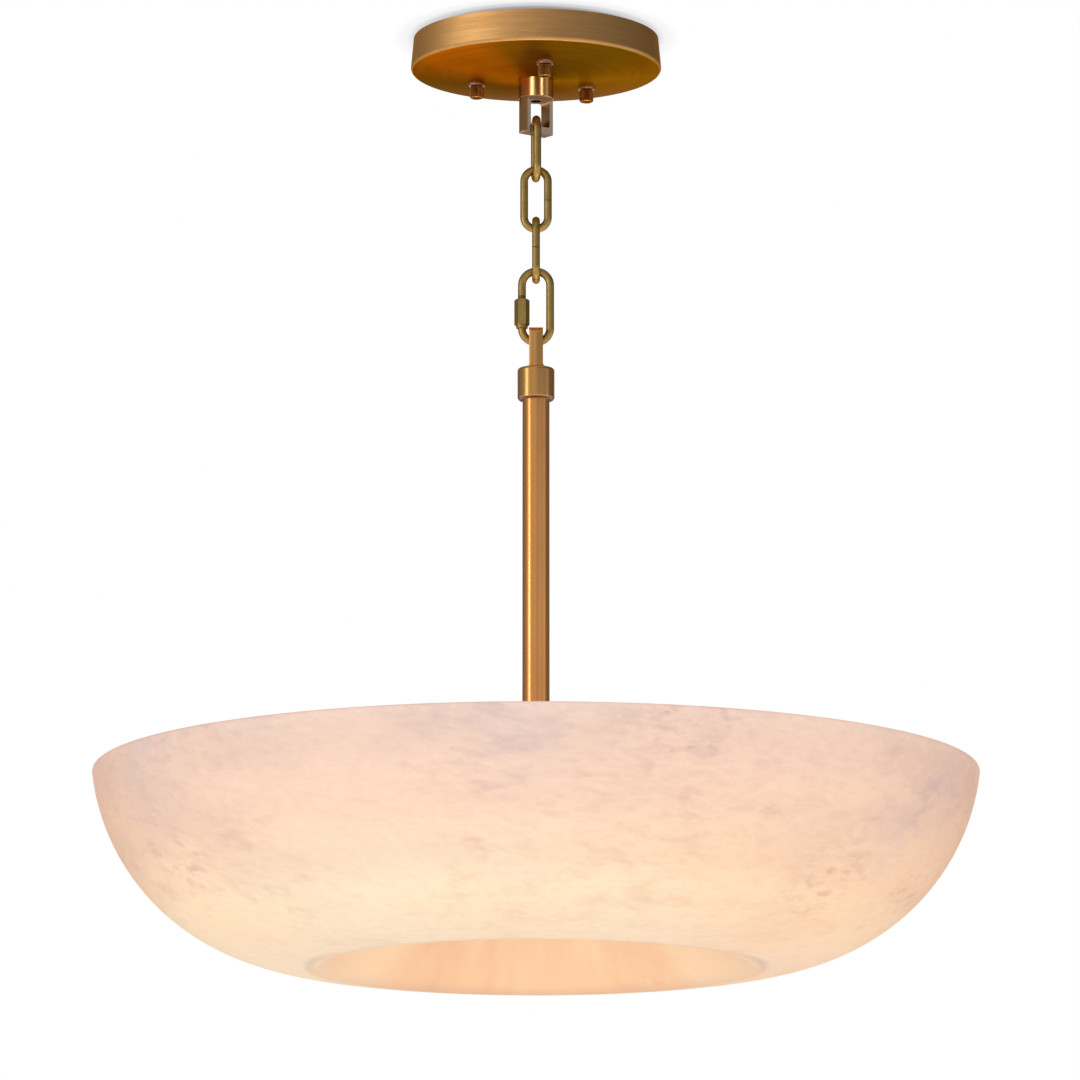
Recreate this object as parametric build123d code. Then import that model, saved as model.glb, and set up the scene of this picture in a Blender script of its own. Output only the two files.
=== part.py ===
from build123d import *
import math
import os

# Alabaster bowl pendant on a short chain. Sizes are in millimetres and degrees, +Z is up, and the origin
# is the centre of the canopy's top edge, in the ceiling plane. Front is -Y and right is +X.

# Clearances
FIT = 0.05                  # radial, threaded and pressed joints
RUN = 0.08                  # radial, pieces that turn or slide on another
SEAT_GAP = 0.1              # between a turning or sliding piece and the face that it rests on
LINK_GAP = 0.3              # between one link and the next
END_GAP = 0.5               # at the bottom of a blind hole

# Canopy
CANOPY_R = 76.2             # lower edge, a six inch canopy
CANOPY_TOP_R = 74.4         # top edge, so that the wall flares a little
CANOPY_HEIGHT = 19.5        # from the ceiling to the lower edge
CANOPY_SAG = 6.0            # how far the bottom swells below the lower edge
CANOPY_WALL = 1.2
CANOPY_EDGE_ROUND = 2.0

# Ceiling plate, with slots for the two screws of a ceiling box
PLATE_R = 62.0
PLATE_T = 2.0
BOX_SCREW_SPACING = 88.9    # three and a half inches
BOX_SLOT_LENGTH = 24.0
BOX_SLOT_WIDTH = 5.0
WIRE_HOLE_R = 12.0
WIRE_HOLE_X = -22.0
WIRE_HOLE_Y = -24.0
GROUND_X = 24.0
GROUND_Y = -20.0
GROUND_SHANK_R = 2.0
GROUND_HEAD_R = 4.2
GROUND_HEAD_T = 2.4
GROUND_SLOT_WIDTH = 1.0
GROUND_SLOT_DEPTH = 1.2
TOP_RECESS = 0.3            # screw and pipe ends stay this far below the ceiling plane

# Studs and knurled nuts that hold the canopy up
NUT_RING_R = 39.0
NUT_PLACES = ("right", "left", "front")
NUT_FIRST_ANGLE = 38.0      # about Z from +X, the nut at the right
STUD_R = 2.0
STUD_ENGAGE = 5.0           # stud inside the knurled nut
STUD_NUT_FLATS = 7.0
STUD_NUT_T = 3.2
SEAT_R = 5.4                # flat seat pressed in the canopy under each nut
SEAT_PROUD = 0.1
NUT_WASHER_R = 5.0
NUT_WASHER_T = 0.8
NUT_R = 4.2
NUT_HEIGHT = 7.6
NUT_KNURLS = 30
NUT_KNURL_DEPTH = 0.35
NUT_BEVEL = 0.5

# Threaded pipe through the canopy
PIPE_R = 4.8
PIPE_BORE_R = 3.2
PIPE_ENGAGE = 8.0           # pipe inside the loop's head
PIPE_NUT_FLATS = 16.0
PIPE_NUT_T = 5.0
PIPE_WASHER_R = 11.0
PIPE_WASHER_T = 1.5

# Loop under the canopy
LOOP_R = 10.6
LOOP_LENGTH = 33.6
LOOP_HEAD = 12.0            # full round part at the top
LOOP_SLAB_T = 8.4           # flat part below, with the window
LOOP_WINDOW_WIDTH = 14.4
LOOP_WINDOW_DROP = 1.0      # from the head to the window
LOOP_WINDOW_ROUND = 1.5
LOOP_BAR = 4.2              # bar under the window, which carries the chain
LOOP_CORNER = 1.2
LOOP_EDGE = 0.5
LOOP_TURN = 38.0            # about Z, the flat side faces the front right

# Chain
WIRE_D = 4.76
LINK_INNER_LENGTH = 31.8
LINK_INNER_WIDTH = 9.6
LINK_1_TURN = 6.0           # about Z, from the YZ plane
SEAM_WIDTH = 0.4
SEAM_DEPTH = 0.3

# Screw link that joins the chain to the stem
QUICK_D = 4.8
QUICK_INNER_LENGTH = 38.9
QUICK_SIDE_PLAY = 1.9       # each side of the stem's tongue
QUICK_MOUTH = 3.0           # gap in the wire under the sleeve
QUICK_MOUTH_UP = 3.0        # from the sleeve's lower end to the gap
SHOULDER_R = 3.5
SHOULDER_T = 1.6
SLEEVE_FLATS = 8.0
SLEEVE_BEVEL = 0.6
SLEEVE_TRAVEL = 8.0
SLEEVE_PLAY = 1.0           # left over above the raised sleeve

# Loop on top of the stem
TONGUE_T = 8.4
TONGUE_INSET = 0.4          # from the collar's flat top
TONGUE_BAR = 4.0
TONGUE_DROP = 20.5          # from the window's top to the collar
TONGUE_WINDOW_WIDTH = 11.0
TONGUE_WINDOW_FOOT = 3.5    # from the window's bottom to the collar
TONGUE_CORNER = 5.0
TONGUE_ROOT_ROUND = 2.0
COLLAR_R = 11.2
COLLAR_HEIGHT = 19.8
COLLAR_ROUND = 1.8
SPIGOT_LENGTH = 14.0
STEM_WIRE_R = 3.0

# Stem
STEM_R = 8.2
STEM_WALL = 1.2
STEM_LENGTH = 242.8
PLUG_LENGTH = 20.0

# Hub inside the bowl
HUB_R = 34.0                # at the arms
HUB_HEIGHT = 34.0
HUB_WALL = 2.0
LID_T = 2.0
LID_OVERHANG = 0.8
LID_RING_T = 1.5
LID_RING_DEPTH = 3.0

# Lamps on the hub's arms
LAMP_COUNT = 6
LAMP_FIRST_ANGLE = -95.0    # about Z from +X, the lamp nearest the front
LAMP_TILT = 16.0            # below level
ARM_R = 5.0
ARM_BORE_R = 3.2
ARM_INSIDE = 9.0            # inside the hub's wall
ARM_SHOULDER_R = 7.5
ARM_SHOULDER_T = 3.0
ARM_NUT_FLATS = 14.0
ARM_NUT_T = 4.0
SOCKET_R = 11.0
SOCKET_LENGTH = 44.0
SOCKET_GRIP = 12.0          # length of arm inside the socket
SOCKET_CUP_DEPTH = 24.0
SOCKET_EDGE = 1.0
BASE_R = 6.5
BASE_LENGTH = 23.0
BASE_PROUD = 1.5            # of the lamp's base outside the socket
CONTACT_R = 3.0
CONTACT_T = 1.5
BULB_R = 17.5
BULB_LENGTH = 74.0
BULB_NECK_LENGTH = 5.0
BULB_WIDEST = 30.0          # from the base to the widest place
BULB_WALL = 1.0
BULB_TIP_GAP = 14.3         # from the bulb's tip to the stone

# Bowl, turned from one block of stone
RIM_R = 264.5
RIM_LEAN = 6.0              # of the wall at the rim, from upright
RIM_ROUND = 3.0
BELLY_R = 130.0             # profile radius of the side
BELLY_END = 68.0            # slope where the side meets the base, from upright
BASE_PROFILE_R = 140.0      # profile radius of the base
LIP_ROUND = 14.0            # profile radius of the lowest ring
RECESS_RISE = 48.0          # from the lowest ring up to the hollow's flat centre
RECESS_FLAT_R = 36.0
BOWL_WALL = 12.0
BOWL_HOLE_R = 7.0

# Clamp through the bowl's centre
ROD_R = 4.8
ROD_BORE_R = 3.2
GASKET_T = 2.0
CLAMP_T = 2.5
CLAMP_INSET = 2.0           # of the clamp plates inside the stone's flat
GASKET_INSET = 3.0
ROD_NUT_FLATS = 16.0
ROD_NUT_T = 5.5
FINIAL_R = 8.0
FINIAL_NECK_R = 6.0
FINIAL_NECK_T = 3.0
FINIAL_ENGAGE = 9.0         # rod inside the finial


def tube(outer, inner, top, length):
    """Upright tube whose top face is at height top."""
    ring = Circle(outer) - Circle(inner)
    return Pos(0, 0, top - length) * extrude(ring, length)


def rod(radius, top, length):
    """Upright round bar whose top face is at height top."""
    return Pos(0, 0, top - length / 2) * Cylinder(radius, length)


def hex_nut(flats, bore, top, height):
    """Hexagon nut with an upright axis."""
    outline = RegularPolygon(flats / 2, 6, major_radius=False) - Circle(bore)
    return Pos(0, 0, top - height) * extrude(outline, height)


def turned(outline):
    """Solid turned about Z from an outline of radius and height."""
    return revolve(Plane.XZ * make_face(outline), Axis.Z)


nut_step = 360.0 / len(NUT_PLACES)
nut_angles = {place: NUT_FIRST_ANGLE + nut_step * number for number, place in enumerate(NUT_PLACES)}


def at_nut(angle, solid):
    """Move a solid from the axis to one of the three stud places."""
    x = NUT_RING_R * math.cos(math.radians(angle))
    y = NUT_RING_R * math.sin(math.radians(angle))
    return Pos(x, y, 0) * solid


# Heights from the ceiling down
dome_r = (CANOPY_R ** 2 + CANOPY_SAG ** 2) / (2 * CANOPY_SAG)
canopy_bottom = -CANOPY_HEIGHT - CANOPY_SAG


def dome_height(radius, skin=0.0):
    """Height of the canopy's underside, or of its inner face for a skin, at a radius."""
    inner_r = dome_r - skin
    return canopy_bottom + dome_r - math.sqrt(inner_r ** 2 - radius ** 2)


seat_height = dome_height(NUT_RING_R - SEAT_R) - SEAT_PROUD
nut_top = seat_height - NUT_WASHER_T - SEAT_GAP
loop_top = canopy_bottom
loop_bottom = loop_top - LOOP_LENGTH
link_bend_r = (LINK_INNER_WIDTH + WIRE_D) / 2
link_straight = LINK_INNER_LENGTH - LINK_INNER_WIDTH
link_pitch = LINK_INNER_LENGTH - LINK_GAP
pivot_1 = loop_bottom + LOOP_BAR / 2
link_1_centre = pivot_1 - link_straight / 2
link_2_centre = link_1_centre - link_pitch
link_3_centre = link_2_centre - link_pitch
link_3_bottom = link_3_centre - LINK_INNER_LENGTH / 2

quick_inner_width = TONGUE_T + 2 * QUICK_SIDE_PLAY
quick_bend_r = (quick_inner_width + QUICK_D) / 2
quick_straight = QUICK_INNER_LENGTH - quick_inner_width
quick_inner_top = link_3_bottom + LINK_GAP
quick_centre = quick_inner_top - QUICK_INNER_LENGTH / 2
quick_inner_bottom = quick_inner_top - QUICK_INNER_LENGTH
pivot_5 = quick_inner_bottom - QUICK_D / 2
sleeve_bottom = quick_centre - quick_straight / 2 + SHOULDER_T + SEAT_GAP
sleeve_length = quick_straight - SHOULDER_T - SEAT_GAP - SLEEVE_TRAVEL - SLEEVE_PLAY

quick_inner_r = quick_inner_width / 2
tongue_rise = quick_inner_r - math.sqrt(quick_inner_r ** 2 - (TONGUE_T / 2) ** 2)
tongue_bar_bottom = quick_inner_bottom + tongue_rise + LINK_GAP
tongue_top = tongue_bar_bottom + TONGUE_BAR
tongue_r = COLLAR_R - COLLAR_ROUND - TONGUE_INSET
collar_top = tongue_bar_bottom - TONGUE_DROP
collar_bottom = collar_top - COLLAR_HEIGHT
stem_bottom = collar_bottom - STEM_LENGTH
stem_bore_r = STEM_R - STEM_WALL
hub_top = stem_bottom - LID_T
hub_bottom = hub_top - HUB_HEIGHT
clamp_top = hub_bottom
stone_top = clamp_top - CLAMP_T - GASKET_T
stone_bottom = stone_top - BOWL_WALL
lower_clamp_top = stone_bottom - GASKET_T
rod_nut_top = lower_clamp_top - CLAMP_T
finial_top = rod_nut_top - ROD_NUT_T
lip_height = stone_bottom - RECESS_RISE

# Canopy and what holds it


def canopy_body(radius, top_radius, height, skin):
    """Flared pan with a swelling bottom, filled up to the ceiling plane."""
    arc_r = dome_r - skin
    centre = canopy_bottom + dome_r
    edge_height = centre - math.sqrt(arc_r ** 2 - radius ** 2)
    middle = (radius / 2, centre - math.sqrt(arc_r ** 2 - (radius / 2) ** 2))
    side = Line((top_radius, height), (radius, edge_height))
    bottom = ThreePointArc((radius, edge_height), middle, (0, centre - arc_r))
    axis = Line((0, centre - arc_r), (0, height))
    top = Line((0, height), (top_radius, height))
    return turned([side, bottom, axis, top])


def make_canopy():
    outer = canopy_body(CANOPY_R, CANOPY_TOP_R, 0, 0)
    rings = outer.edges().filter_by(GeomType.CIRCLE)
    lower_edge = min(rings, key=lambda edge: abs(edge.radius - CANOPY_R))
    shell = fillet(lower_edge, CANOPY_EDGE_ROUND)
    seat_top = dome_height(NUT_RING_R + SEAT_R) + CANOPY_WALL / 4
    seat = rod(SEAT_R, seat_top, seat_top - seat_height)
    for angle in nut_angles.values():
        shell += at_nut(angle, seat)
    shell -= canopy_body(CANOPY_R - CANOPY_WALL, CANOPY_TOP_R - CANOPY_WALL, 0, CANOPY_WALL)
    stud_hole = rod(STUD_R + FIT, 0, -canopy_bottom + CANOPY_WALL)
    for angle in nut_angles.values():
        shell -= at_nut(angle, stud_hole)
    return shell - rod(PIPE_R + FIT, 0, -canopy_bottom + CANOPY_WALL)


def make_plate():
    outline = Circle(PLATE_R) - Circle(PIPE_R + FIT)
    for side in (-1, 1):
        outline -= Pos(side * BOX_SCREW_SPACING / 2, 0) * SlotOverall(BOX_SLOT_LENGTH, BOX_SLOT_WIDTH)
    outline -= Pos(WIRE_HOLE_X, WIRE_HOLE_Y) * Circle(WIRE_HOLE_R)
    outline -= Pos(GROUND_X, GROUND_Y) * Circle(GROUND_SHANK_R + FIT)
    for angle in nut_angles.values():
        outline -= at_nut(angle, Circle(STUD_R + FIT))
    return Pos(0, 0, -PLATE_T) * extrude(outline, PLATE_T)


def make_ground_screw():
    screw = rod(GROUND_SHANK_R, -TOP_RECESS, PLATE_T - TOP_RECESS)
    screw += rod(GROUND_HEAD_R, -PLATE_T, GROUND_HEAD_T)
    slot_height = -PLATE_T - GROUND_HEAD_T + GROUND_SLOT_DEPTH / 2
    screw -= Pos(0, 0, slot_height) * Box(2 * GROUND_HEAD_R, GROUND_SLOT_WIDTH, GROUND_SLOT_DEPTH)
    return Pos(GROUND_X, GROUND_Y, 0) * screw


def make_knurled_nut():
    points = []
    for step in range(2 * NUT_KNURLS):
        radius = NUT_R - NUT_KNURL_DEPTH * (step % 2)
        turn = math.pi * step / NUT_KNURLS
        points.append((radius * math.cos(turn), radius * math.sin(turn)))
    ridged = Pos(0, 0, nut_top - NUT_HEIGHT) * extrude(make_face(Polyline(*points, close=True)), NUT_HEIGHT)
    blank = rod(NUT_R, nut_top, NUT_HEIGHT)
    nut = ridged & chamfer(blank.edges().filter_by(GeomType.CIRCLE), NUT_BEVEL)
    return nut - rod(STUD_R + RUN, nut_top, STUD_ENGAGE + END_GAP)


stud = rod(STUD_R, -TOP_RECESS, -TOP_RECESS - nut_top + STUD_ENGAGE)
stud_nut = hex_nut(STUD_NUT_FLATS, STUD_R + FIT, -PLATE_T, STUD_NUT_T)
nut_washer = tube(NUT_WASHER_R, STUD_R + FIT, seat_height, NUT_WASHER_T)
knurled_nut = make_knurled_nut()
pipe_washer_top = dome_height(PIPE_WASHER_R, CANOPY_WALL) + PIPE_WASHER_T
pipe_length = -TOP_RECESS - loop_top + PIPE_ENGAGE

# Loop under the canopy


def link_bend_sweep():
    """Room that the first link's top bend and its clearance take as it swings on the bar."""
    ring = Rot(0, 90, 0) * Torus(link_bend_r, WIRE_D / 2 + LINK_GAP)
    return Pos(0, 0, pivot_1) * Rot(0, 0, LINK_1_TURN) * ring


def make_canopy_loop():
    slab_height = LOOP_LENGTH - LOOP_HEAD
    face = Rectangle(2 * LOOP_R, slab_height)
    face = fillet(face.vertices().group_by(Axis.Y)[0], LOOP_CORNER)
    slab_centre = loop_bottom + slab_height / 2
    slab = Pos(0, 0, slab_centre) * extrude(Plane.XZ * face, LOOP_SLAB_T / 2, both=True)
    slab &= rod(LOOP_R, loop_top, LOOP_LENGTH)
    window_height = slab_height - LOOP_WINDOW_DROP - LOOP_BAR
    window = RectangleRounded(LOOP_WINDOW_WIDTH, window_height, LOOP_WINDOW_ROUND)
    window_centre = loop_bottom + LOOP_BAR + window_height / 2
    slab -= Pos(0, 0, window_centre) * extrude(Plane.XZ * window, LOOP_R, both=True)
    head = rod(LOOP_R, loop_top, LOOP_HEAD)
    head = chamfer(head.edges().filter_by(GeomType.CIRCLE).sort_by(Axis.Z)[0], LOOP_EDGE)
    loop = Rot(0, 0, LOOP_TURN) * (head + slab)
    loop -= rod(PIPE_R + FIT, loop_top, PIPE_ENGAGE + END_GAP)
    loop -= rod(PIPE_BORE_R, loop_top, LOOP_HEAD + LOOP_WINDOW_DROP + END_GAP)
    return loop - link_bend_sweep()


# Chain and screw link


def half_ring(bend_r, wire_r):
    """Upper half of a ring of round wire that stands in the XZ plane."""
    ring = Rot(90, 0, 0) * Torus(bend_r, wire_r)
    reach = 2 * (bend_r + wire_r)
    return ring & Pos(0, 0, reach / 2) * Box(reach, reach, reach)


def wire_loop(bend_r, straight, wire_d):
    """Long ring of round wire that stands in the XZ plane, centred on the origin."""
    bend = half_ring(bend_r, wire_d / 2)
    loop = Pos(0, 0, straight / 2) * bend
    loop += Pos(0, 0, -straight / 2) * Rot(0, 180, 0) * bend
    for side in (-1, 1):
        loop += Pos(side * bend_r, 0, 0) * Cylinder(wire_d / 2, straight)
    return loop


def make_link(centre, turn):
    """Chain link with the butt seam of its wire on one leg."""
    seam = Cylinder(WIRE_D, SEAM_WIDTH) - Cylinder(WIRE_D / 2 - SEAM_DEPTH, SEAM_WIDTH)
    seam &= Box(link_bend_r, 2 * WIRE_D, SEAM_WIDTH)
    link = wire_loop(link_bend_r, link_straight, WIRE_D) - Pos(link_bend_r, 0, 0) * seam
    return Pos(0, 0, centre) * Rot(0, 0, turn) * link


def make_quick_link():
    link = Pos(0, 0, quick_centre) * wire_loop(quick_bend_r, quick_straight, QUICK_D)
    leg = Pos(-quick_bend_r, 0, 0)
    link += leg * rod(SHOULDER_R, sleeve_bottom - SEAT_GAP, SHOULDER_T)
    return link - leg * rod(QUICK_D, sleeve_bottom + QUICK_MOUTH_UP + QUICK_MOUTH, QUICK_MOUTH)


def make_sleeve():
    blank = rod(SLEEVE_FLATS / math.sqrt(3), sleeve_bottom + sleeve_length, sleeve_length)
    blank = chamfer(blank.edges().filter_by(GeomType.CIRCLE), SLEEVE_BEVEL)
    sleeve = hex_nut(SLEEVE_FLATS, QUICK_D / 2 + RUN, sleeve_bottom + sleeve_length, sleeve_length)
    return Pos(-quick_bend_r, 0, 0) * (sleeve & blank)


# Stem


def make_stem_loop():
    tongue_height = tongue_top - collar_top
    side = Pos(0, tongue_height / 2) * Rectangle(2 * tongue_r, tongue_height)
    side = fillet(side.vertices().group_by(Axis.Y)[-1], TONGUE_CORNER)
    side += Pos(0, -COLLAR_ROUND / 2) * Rectangle(2 * tongue_r, COLLAR_ROUND)
    edge = Pos(0, tongue_height / 2) * Rectangle(TONGUE_T, tongue_height)
    edge += Pos(0, -COLLAR_ROUND / 2) * Rectangle(2 * tongue_r, COLLAR_ROUND)
    root = edge.vertices().group_by(Axis.Y)[1].sort_by(lambda corner: abs(corner.X))[:2]
    edge = fillet(root, TONGUE_ROOT_ROUND)
    tongue = extrude(Plane.YZ * side, tongue_r, both=True)
    tongue &= extrude(Plane.XZ * edge, tongue_r, both=True)
    tongue = Pos(0, 0, collar_top) * tongue
    tongue &= rod(tongue_r, tongue_top, tongue_height + COLLAR_ROUND)
    collar = rod(COLLAR_R, collar_top, COLLAR_HEIGHT)
    collar = fillet(collar.edges().filter_by(GeomType.CIRCLE), COLLAR_ROUND)
    loop = tongue + collar
    window_height = TONGUE_DROP - TONGUE_WINDOW_FOOT
    window = RectangleRounded(TONGUE_WINDOW_WIDTH, window_height, LOOP_WINDOW_ROUND)
    window_centre = tongue_bar_bottom - window_height / 2
    loop -= Pos(0, 0, window_centre) * extrude(Plane.YZ * window, COLLAR_R, both=True)
    loop += rod(stem_bore_r - FIT, collar_bottom, SPIGOT_LENGTH)
    wire_way = tongue_bar_bottom - window_height / 2 - collar_bottom + SPIGOT_LENGTH
    return loop - rod(STEM_WIRE_R, window_centre, wire_way)


# Bowl


def polar(centre, radius, angle):
    """Point of an outline arc, with the angle counted from outwards towards down."""
    turn = math.radians(angle)
    return (centre[0] + radius * math.cos(turn), centre[1] - radius * math.sin(turn))


def outline_arc(centre, radius, start, end):
    middle = polar(centre, radius, (start + end) / 2)
    return ThreePointArc(polar(centre, radius, start), middle, polar(centre, radius, end))


def bowl_centres():
    """Centres of the outline's four arcs, and the slope where the hollow's two arcs meet."""
    lip_r = RIM_R - BELLY_R * (math.cos(math.radians(RIM_LEAN)) - math.cos(math.radians(BELLY_END)))
    lip_r -= BASE_PROFILE_R * math.cos(math.radians(BELLY_END))
    lip = (lip_r, lip_height + LIP_ROUND)
    base = (lip_r, lip_height + BASE_PROFILE_R)
    meet = polar(base, BASE_PROFILE_R, BELLY_END)
    belly = polar(meet, -BELLY_R, BELLY_END)
    turn = 2 * math.degrees(math.atan(RECESS_RISE / (lip_r - RECESS_FLAT_R)))
    recess_r = RECESS_RISE / (1 - math.cos(math.radians(turn))) - LIP_ROUND
    recess = (RECESS_FLAT_R, stone_bottom - recess_r)
    return belly, base, lip, recess, turn, recess_r


def bowl_outline(skin, rim_angle):
    """Outline of one face of the stone from the rim to the flat centre."""
    belly, base, lip, recess, turn, recess_r = bowl_centres()
    return [
        outline_arc(belly, BELLY_R - skin, rim_angle, BELLY_END),
        outline_arc(base, BASE_PROFILE_R - skin, BELLY_END, 90),
        outline_arc(lip, LIP_ROUND - skin, 90, 90 + turn),
        outline_arc(recess, -recess_r - skin, 90 + turn, 90),
        Line((RECESS_FLAT_R, stone_bottom + skin), (BOWL_HOLE_R, stone_bottom + skin)),
    ]


def make_bowl():
    inner_lean = math.asin(BELLY_R * math.sin(math.radians(RIM_LEAN)) / (BELLY_R - BOWL_WALL))
    outer = bowl_outline(0, RIM_LEAN)
    inner = bowl_outline(BOWL_WALL, math.degrees(inner_lean))
    hole = Line((BOWL_HOLE_R, stone_bottom), (BOWL_HOLE_R, stone_top))
    rim = Line(outer[0] @ 0, inner[0] @ 0)
    bowl = turned(outer + [hole] + inner + [rim])
    rim_edges = bowl.edges().filter_by(GeomType.CIRCLE).group_by(Axis.Z)[-1]
    return fillet(rim_edges, RIM_ROUND)


# Hub and lamps
lamp_slope = math.tan(math.radians(LAMP_TILT))
hub_top_r = HUB_R + HUB_HEIGHT / 2 * lamp_slope
hub_bottom_r = HUB_R - HUB_HEIGHT / 2 * lamp_slope
hub_skin = HUB_WALL / math.cos(math.radians(LAMP_TILT))
arm_height = hub_top - HUB_HEIGHT / 2
lamp_angles = [LAMP_FIRST_ANGLE + 360.0 * number / LAMP_COUNT for number in range(LAMP_COUNT)]


def bulb_reach():
    """Distance along an arm, from the hub's wall, at which a bulb's tip keeps its gap to the stone."""
    belly = bowl_centres()[0]
    tilt = math.radians(LAMP_TILT)
    out = HUB_R - belly[0]
    up = arm_height - belly[1]
    along = out * math.cos(tilt) - up * math.sin(tilt)
    across = out * math.sin(tilt) + up * math.cos(tilt)
    return math.sqrt((BELLY_R - BOWL_WALL - BULB_TIP_GAP) ** 2 - across ** 2) - along


socket_end = bulb_reach() - BULB_LENGTH - BASE_PROUD
arm_end = socket_end - SOCKET_LENGTH + SOCKET_GRIP


def on_arm(angle, solid):
    """Move a solid whose +Z runs out along an arm, with its zero at the hub's wall, to that arm."""
    return Rot(0, 0, angle) * Pos(HUB_R, 0, arm_height) * Rot(0, 90 + LAMP_TILT, 0) * solid


def hub_shape(skin, floor):
    """Cup that widens upwards, so that its wall is square to the arms."""
    low = (hub_bottom_r - skin + (floor - hub_bottom) * lamp_slope, floor)
    high = (hub_top_r - skin, hub_top)
    return turned(Polyline((0, floor), low, high, (0, hub_top), close=True))


def make_hub():
    hub = hub_shape(0, hub_bottom) - hub_shape(hub_skin, hub_bottom + HUB_WALL)
    arm_hole = rod(ARM_R + FIT, arm_end, arm_end + ARM_INSIDE)
    for angle in lamp_angles:
        hub -= on_arm(angle, arm_hole)
    return hub - rod(ROD_R + FIT, hub_top, HUB_HEIGHT)


def make_lid():
    ring_r = hub_top_r - hub_skin - LID_RING_DEPTH * lamp_slope - FIT
    lid = rod(hub_top_r + LID_OVERHANG, stem_bottom, LID_T)
    lid += tube(ring_r, ring_r - LID_RING_T, hub_top, LID_RING_DEPTH)
    return lid - rod(ROD_R + FIT, stem_bottom, LID_T)


def make_arm():
    arm = rod(ARM_R, arm_end, arm_end + HUB_WALL + ARM_INSIDE)
    arm += rod(ARM_SHOULDER_R, ARM_SHOULDER_T, ARM_SHOULDER_T)
    return arm - rod(ARM_BORE_R, arm_end, arm_end + HUB_WALL + ARM_INSIDE)


def make_socket():
    socket = rod(SOCKET_R, socket_end, SOCKET_LENGTH)
    socket = fillet(socket.edges().filter_by(GeomType.CIRCLE), SOCKET_EDGE)
    socket -= rod(ARM_R + FIT, arm_end, SOCKET_GRIP)
    return socket - rod(BASE_R + FIT, socket_end, SOCKET_CUP_DEPTH)


def make_bulb_base():
    base = rod(BASE_R, socket_end + BASE_PROUD, BASE_LENGTH)
    return base + rod(CONTACT_R, socket_end + BASE_PROUD - BASE_LENGTH, CONTACT_T)


def bulb_outline(skin):
    """Torpedo outline of radius and distance from the bulb's neck, drawn in by the glass thickness."""
    neck = BASE_R - skin
    tip = BULB_LENGTH - skin
    widest = (BULB_R - skin, BULB_WIDEST)
    return [
        Line((0, 0), (neck, 0)),
        Line((neck, 0), (neck, BULB_NECK_LENGTH)),
        Spline((neck, BULB_NECK_LENGTH), widest, tangents=[(0, 1), (0, 1)]),
        Spline(widest, (0, tip), tangents=[(0, 1), (-1, 0)]),
        Line((0, tip), (0, 0)),
    ]


def make_bulb():
    glass = turned(bulb_outline(0)) - turned(bulb_outline(BULB_WALL))
    return Pos(0, 0, socket_end + BASE_PROUD) * glass


arm_nut_corner = ARM_NUT_FLATS / math.sqrt(3)
hub_inner_r = HUB_R - hub_skin - ARM_NUT_T * lamp_slope
arm_nut_inset = hub_inner_r - math.sqrt(hub_inner_r ** 2 - arm_nut_corner ** 2)
arm_nut = hex_nut(ARM_NUT_FLATS, ARM_R + FIT, -HUB_WALL - arm_nut_inset, ARM_NUT_T)
lamp_pieces = {
    "lamp_arm": make_arm(),
    "lamp_socket": make_socket(),
    "bulb_base": make_bulb_base(),
    "bulb": make_bulb(),
}

# Clamp
rod_bottom = finial_top - FINIAL_ENGAGE
clamp_r = RECESS_FLAT_R - CLAMP_INSET
gasket_r = RECESS_FLAT_R - GASKET_INSET


def make_finial():
    ball_drop = FINIAL_NECK_T + math.sqrt(FINIAL_R ** 2 - FINIAL_NECK_R ** 2)
    finial = rod(FINIAL_NECK_R, finial_top, ball_drop)
    finial += Pos(0, 0, finial_top - ball_drop) * Sphere(FINIAL_R)
    return finial - rod(ROD_R + FIT, finial_top, FINIAL_ENGAGE + END_GAP)


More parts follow.
